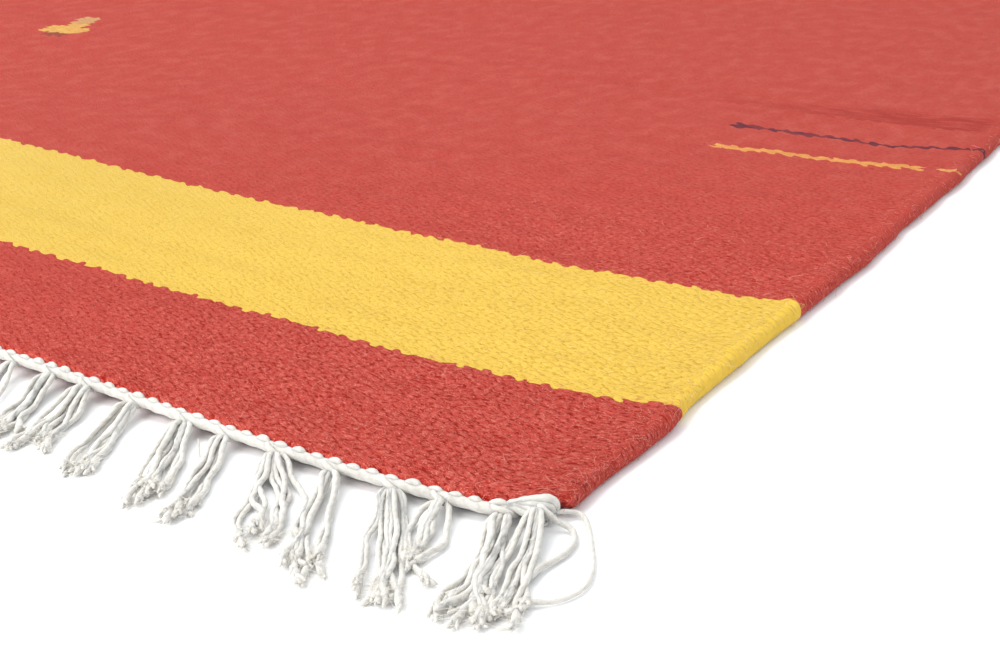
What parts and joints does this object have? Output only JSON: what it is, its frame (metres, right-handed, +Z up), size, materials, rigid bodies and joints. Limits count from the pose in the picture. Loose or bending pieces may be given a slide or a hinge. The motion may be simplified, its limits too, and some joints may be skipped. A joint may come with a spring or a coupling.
{
  "type": "kilim rug",
  "caption": "Small hand-woven wool kilim lying on the floor, red with yellow end bands, a white twined edge and knotted cotton fringe at each end.",
  "frame": {"origin": "on the floor, under the middle of the rug with its fringes", "axes": "+X across the rug along the weft, +Y along the warp from the fringe end seen in the picture to the far one, +Z up"},
  "size_m": [0.6184, 0.9848, 0.015],
  "materials": {
    "wool_cloth": "matt, slightly hairy hand-spun wool in weft-faced plain weave, red with a yellow band near each end",
    "cotton_fringe": "matt undyed cotton, twined edge and soft twisted warp ends"
  },
  "bodies": {
    "root": {"woven_body": "wool_cloth", "front_fringe": "cotton_fringe", "back_fringe": "cotton_fringe"}
  },
  "joints": []
}
